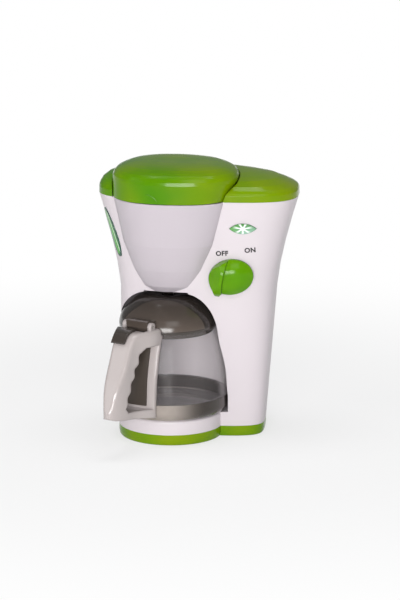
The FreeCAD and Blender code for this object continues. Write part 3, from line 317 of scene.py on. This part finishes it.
def lens_material(centre, half):
    # Green with white rays from a bright middle
    g = Graph("lens_plastic")
    s = g.shader(Roughness=0.08, Coat_Weight=0.6, Coat_Roughness=0.03)
    axes = g.axes()
    x = g.math("DIVIDE", g.math("SUBTRACT", axes[0], centre[0]), half[0])
    z = g.math("DIVIDE", g.math("SUBTRACT", axes[2], centre[2]), half[1])
    wide = g.math("MULTIPLY", x, RAY_STRETCH)
    reach = g.length(wide, z)
    turn = g.math("ARCTAN2", z, wide)
    rays = g.math("SINE", g.math("MULTIPLY", turn, RAYS))
    rays = g.span(rays, -0.2, 0.9, 0.0, 1.0, True)
    glow = g.span(reach, 0.15, 0.6, 1.0, 0.0, True)
    fade = g.span(reach, 0.5, 1.6, 1.0, 0.0, True)
    light = g.math("MAXIMUM", glow, g.math("MULTIPLY", rays, fade))
    body = g.mix(g.span(z, -1.0, 1.0, 0.0, 1.0), lin(150, 190, 170), lin(58, 128, 34))
    left = g.span(x, -1.0, 0.3, 1.0, 0.0, True)
    body = g.mix(g.math("MULTIPLY", left, 0.75), body, lin(72, 150, 24))
    edge = g.span(g.math("ADD", g.math("ABSOLUTE", z), g.math("MULTIPLY", x, x)), 0.86, 1.0, 0.0, 1.0, True)
    colour = g.mix(light, body, lin(246, 250, 248))
    g.link(g.mix(g.math("MULTIPLY", edge, 0.6), colour, lin(70, 110, 84)), s.inputs["Base Color"])
    return g.mat


def window_material(centre):
    # A tinted strip that leans: a dark rim, a pale bevel at its left, a green middle and a light line that is a
    # painted highlight
    g = Graph("window_plastic")
    s = g.shader(Roughness=0.08, Coat_Weight=0.5, Coat_Roughness=0.03)
    axes = g.axes()
    dx, dy, dz = (g.math("SUBTRACT", axes[k], centre[k]) for k in range(3))
    side = g.turned(dx, dy, -WINDOW_TURN)
    across = g.turned(side, dz, WINDOW_LEAN)
    along = g.turned(dz, side, -WINDOW_LEAN)
    u = g.math("DIVIDE", across, WINDOW_HALF[0])
    v = g.math("DIVIDE", along, WINDOW_HALF[1])
    ring = g.length(u, v)
    ramp = g.node("ShaderNodeValToRGB")
    # The light stops from 0.70 to 0.75 are a painted highlight along the strip
    bands = ((0.0, (186, 204, 198)), (0.17, (160, 190, 176)), (0.22, (22, 74, 52)), (0.34, (30, 96, 52)),
             (0.42, (92, 172, 66)), (0.58, (44, 146, 34)), (0.66, (46, 140, 36)), (0.70, (212, 236, 206)),
             (0.75, (204, 230, 196)), (0.79, (42, 130, 40)), (1.0, (18, 78, 48)))
    while len(ramp.color_ramp.elements) < len(bands):
        ramp.color_ramp.elements.new(0.5)
    for stop, (place, colour) in zip(ramp.color_ramp.elements, bands):
        stop.position = place
        stop.color = lin(*colour)
    g.link(g.span(u, -1.0, 1.0, 0.0, 1.0), ramp.inputs[0])
    rim = g.span(ring, 0.86, 0.93, 0.0, 1.0, True)
    g.link(g.mix(rim, ramp.outputs[0], lin(20, 72, 56)), s.inputs["Base Color"])
    return g.mat


# Pieces

def mesh_piece(name, verts, faces, body, material):
    data = bpy.data.meshes.new(name)
    data.from_pydata([tuple(v) for v in verts], [], faces)
    data.validate()
    data.shade_smooth()
    made = bpy.data.objects.new(name, data)
    bpy.context.scene.collection.objects.link(made)
    data.materials.append(material)
    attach(made, body)
    return made


def paint(node, material):
    obj = NODES[node]
    obj.data.materials.clear()
    obj.data.materials.append(material)
    for polygon in obj.data.polygons:
        polygon.material_index = 0


def soften(node, angle=32.0):
    # Smooth shading over curved faces, crisp at real edges
    data = NODES[node].data
    data.shade_smooth()
    data.set_sharp_from_angle(angle=math.radians(angle))


def tree_of(node):
    bm = bmesh.new()
    bm.from_mesh(NODES[node].data)
    tree = BVHTree.FromBMesh(bm)
    bm.free()
    return tree


# A place well in front of the object, from where its front is found
IN_FRONT = -0.3


def on_front(tree, x, z, lift=0.0):
    # The point of a node's front at (x, z), and the way out of it
    hit, normal, _, _ = tree.ray_cast(Vector((x, IN_FRONT, z)), Vector((0, 1, 0)))
    if normal.y > 0:
        normal = -normal
    return hit + normal * lift, normal


# The lettering: its size, its turn in degrees, how far its strokes are thickened, the length over which an edge
# is split, its lift off the panel and its own thickness
LETTER_SIZE = 0.0050
LETTER_TURN = 3.0
LETTER_OFFSET = 0.00020
LETTER_EDGE = 0.001
LETTER_LIFT = 0.00003
LETTER_DEPTH = 0.00012


def label(name, words, centre, tree, body):
    # Thin lettering laid on the front panel
    curve = bpy.data.curves.new(name, "FONT")
    curve.body = words
    curve.align_x = "CENTER"
    curve.align_y = "CENTER"
    curve.size = LETTER_SIZE
    curve.space_character = 1.08
    curve.offset = LETTER_OFFSET
    curve.resolution_u = 6
    temp = bpy.data.objects.new(name + "_curve", curve)
    bpy.context.scene.collection.objects.link(temp)
    bpy.context.view_layer.update()
    flat = bpy.data.meshes.new_from_object(temp)
    bpy.data.objects.remove(temp)
    bm = bmesh.new()
    bm.from_mesh(flat)
    bmesh.ops.triangulate(bm, faces=bm.faces[:])
    bmesh.ops.subdivide_edges(bm, edges=[e for e in bm.edges if e.calc_length() > LETTER_EDGE], cuts=1)
    spin = Matrix.Rotation(math.radians(LETTER_TURN), 2)
    for v in bm.verts:
        flat_at = spin @ v.co.xy
        v.co = on_front(tree, centre[0] + flat_at.x, centre[1] + flat_at.y, LETTER_LIFT)[0]
    grown = bmesh.ops.extrude_face_region(bm, geom=bm.faces[:])
    raised = [v for v in grown["geom"] if isinstance(v, bmesh.types.BMVert)]
    for v in raised:
        v.co += Vector((0, -LETTER_DEPTH, 0))
    bmesh.ops.recalc_face_normals(bm, faces=bm.faces[:])
    data = bpy.data.meshes.new(name)
    bm.to_mesh(data)
    bm.free()
    bpy.data.meshes.remove(flat)
    made = bpy.data.objects.new(name, data)
    bpy.context.scene.collection.objects.link(made)
    data.materials.append(ink)
    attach(made, body)
    return made


# The thumb notch: its arc's centre across and up, its radius, half width, first and last angle and steps, and
# the crescent's section as shares of its half width, each with its lift off the lid
NOTCH_CENTRE = (-0.0105, 0.1815)
NOTCH_RADIUS = 0.0098
NOTCH_HALF = 0.00063
NOTCH_FROM = 92.0
NOTCH_TO = 26.0
NOTCH_STEPS = 20
NOTCH_SECTION = ((-1, -0.0003), (-0.4, 0.00045), (0.4, 0.00045), (1, -0.0003))


def thumb_notch(tree):
    # A thin raised crescent at the front lower edge of the brew lid, where a thumb lifts it; its pale green is
    # a painted highlight along the arc
    steps = NOTCH_STEPS
    rings = []
    for i in range(steps + 1):
        share = i / steps
        turn = math.radians(NOTCH_FROM + (NOTCH_TO - NOTCH_FROM) * share)
        half = NOTCH_HALF * math.sin(math.pi * (0.08 + 0.84 * share))
        ring = []
        for side, lift in NOTCH_SECTION:
            r = NOTCH_RADIUS + side * half
            x = NOTCH_CENTRE[0] + r * math.cos(turn)
            z = NOTCH_CENTRE[1] + r * math.sin(turn)
            ring.append(on_front(tree, x, z, lift)[0])
        rings.append(ring)
    verts = [v for ring in rings for v in ring]
    faces = []
    for i in range(steps):
        for k in range(4):
            a, b = 4 * i + k, 4 * i + (k + 1) % 4
            faces.append((a, b, b + 4, a + 4))
    faces.append((3, 2, 1, 0))
    faces.append(tuple(4 * steps + k for k in range(4)))
    # The crescent's pale green is a painted highlight
    notch_highlight = moulded("notch_painted_highlight", lin(170, 196, 90), GREEN, rough=0.2)
    return mesh_piece("thumb_notch", verts, faces, "brew_lid", notch_highlight)


ink = moulded("ink", INK, rough=0.5, tone=0.1)

for node_name in NODES:
    soften(node_name)

for names, material in (
        (("front_housing", "rear_housing"), white),
        (("brew_bowl", "drip_nozzle"), bowl_white_shaded),
        (("base_cover", "top_cover", "brew_lid", "battery_door"), green),
        (("control_knob",), knob_green),
        (("jug_collar", "thumb_rest"), dark),
        (("jug_band",), band_dark()),
        (("jug_handle",), grey),
        (("grip_liner",), liner),
        (("jug_lid",), lid_dark()),
        (("jug_body",), clear("jug_plastic", lin(205, 198, 200), lin(128, 120, 120))),
        (("lid_hinge_pin", "jug_lid_pin", "base_screws", "rear_screws", "door_screw"), steel),
        (("battery_contacts",), brass),
        (("rotary_switch", "speaker"), black),
        (("knob_spindle", "battery_box"), pale),
        (("circuit_board",), board),
        (("lamp",), moulded("lamp_plastic", lin(150, 215, 110), rough=0.15)),
        (("batteries",), wrap)):
    for node_name in names:
        paint(node_name, material)

lens_low, lens_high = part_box("indicator_lens")
lens_mid = (Vector(lens_low) + Vector(lens_high)) / 2
paint("indicator_lens", lens_material(lens_mid, LENS_HALF))
window_low, window_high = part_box("level_window")
paint("level_window", window_material((Vector(window_low) + Vector(window_high)) / 2))

front = tree_of("front_housing")
label("word_off", "OFF", (0.0432, 0.1440), front, "housing")
label("word_on", "ON", (0.0640, 0.1466), front, "housing")

thumb_notch(tree_of("brew_lid"))


# Stage, light and camera

def area(name, place, target, size, power):
    data = bpy.data.lights.new(name, "AREA")
    data.shape = "RECTANGLE"
    data.size = size[0]
    data.size_y = size[1]
    data.energy = power
    made = bpy.data.objects.new(name, data)
    made.location = place
    made.rotation_euler = (Vector(target) - Vector(place)).to_track_quat("-Z", "Y").to_euler()
    bpy.context.scene.collection.objects.link(made)


# The floor: its half size, how far it lies under the part, and how its own light grows from the part outwards
FLOOR_HALF = 6.0
FLOOR_DROP = 0.0003
GLOW_REACH = (0.16, 0.55)
GLOW_SHARE = (0.66, 1.0)


def floor():
    # A pale floor that keeps the shadow; it looks nearly white to the camera
    data = bpy.data.meshes.new("floor")
    r = FLOOR_HALF
    data.from_pydata([(-r, -r, 0), (r, -r, 0), (r, r, 0), (-r, r, 0)], [], [(0, 1, 2, 3)])
    made = bpy.data.objects.new("floor", data)
    made.location.z = -FLOOR_DROP
    bpy.context.scene.collection.objects.link(made)
    g = Graph("floor_white")
    diffuse = g.node("ShaderNodeBsdfDiffuse", Color=(0.86, 0.86, 0.86, 1))
    lift = g.node("ShaderNodeEmission", Color=(1, 1, 1, 1), Strength=1.0)
    path = g.node("ShaderNodeLightPath")
    seen = g.math("MAXIMUM", path.outputs["Is Camera Ray"],
                  g.math("MAXIMUM", path.outputs["Is Glossy Ray"], path.outputs["Is Transmission Ray"]))
    reach = g.node("ShaderNodeVectorMath", operation="LENGTH")
    g.link(g.coords(), reach.inputs[0])
    share = g.span(reach.outputs["Value"], *GLOW_REACH, *GLOW_SHARE, True)
    mixer = g.node("ShaderNodeMixShader")
    g.link(g.math("MULTIPLY", seen, share), mixer.inputs[0])
    g.link(diffuse.outputs[0], mixer.inputs[1])
    g.link(lift.outputs[0], mixer.inputs[2])
    g.link(mixer.outputs[0], g.out.inputs["Surface"])
    data.materials.append(g.mat)


def world():
    made = bpy.data.worlds.new("studio")
    bpy.context.scene.world = made
    made.use_nodes = True
    tree = made.node_tree
    tree.nodes.clear()
    out = tree.nodes.new("ShaderNodeOutputWorld")
    soft = tree.nodes.new("ShaderNodeBackground")
    soft.inputs["Color"].default_value = (0.97, 0.98, 1.0, 1)
    soft.inputs["Strength"].default_value = 0.27
    seen = tree.nodes.new("ShaderNodeBackground")
    seen.inputs["Color"].default_value = (1, 1, 1, 1)
    seen.inputs["Strength"].default_value = 1.0
    path = tree.nodes.new("ShaderNodeLightPath")
    both = tree.nodes.new("ShaderNodeMath")
    both.operation = "MAXIMUM"
    tree.links.new(path.outputs["Is Camera Ray"], both.inputs[0])
    tree.links.new(path.outputs["Is Transmission Ray"], both.inputs[1])
    mixer = tree.nodes.new("ShaderNodeMixShader")
    tree.links.new(both.outputs[0], mixer.inputs[0])
    tree.links.new(soft.outputs[0], mixer.inputs[1])
    tree.links.new(seen.outputs[0], mixer.inputs[2])
    tree.links.new(mixer.outputs[0], out.inputs["Surface"])


floor()
world()
MIDDLE = (0.02, 0, 0.1)
JUG = (0.0, 0, 0.06)
area("key", (0.55, -1.5, 1.35), MIDDLE, (0.9, 0.9), 5.5)
area("fill", (-1.5, -1.1, 0.8), MIDDLE, (1.0, 1.2), 5)
area("top", (0.0, 0.1, 1.7), MIDDLE, (1.2, 0.5), 10)
area("low", (0.12, -1.5, 0.30), JUG, (0.7, 0.4), 17)

# The camera, set so that a photo pixel is PIXEL long at the object
AZIMUTH = math.radians(9.0)
ELEVATION = math.radians(13.9)
DISTANCE = 2.6
TARGET = Vector((0.0235, 0.0037, 0.1028))
SENSOR = 36.0
PHOTO_HEIGHT = 600
PIXEL = 0.754 * MM

camera_data = bpy.data.cameras.new("camera")
camera = bpy.data.objects.new("camera", camera_data)
bpy.context.scene.collection.objects.link(camera)
bpy.context.scene.camera = camera
level = math.cos(ELEVATION)
away = Vector((math.sin(AZIMUTH) * level, -math.cos(AZIMUTH) * level, math.sin(ELEVATION)))
camera.location = TARGET + away * DISTANCE
camera.rotation_euler = (-away).to_track_quat("-Z", "Y").to_euler()
camera_data.sensor_fit = "VERTICAL"
camera_data.sensor_height = SENSOR
camera_data.lens = SENSOR * DISTANCE / (PHOTO_HEIGHT * PIXEL)
camera_data.clip_end = 50.0
bpy.context.scene.view_settings.view_transform = "Standard"
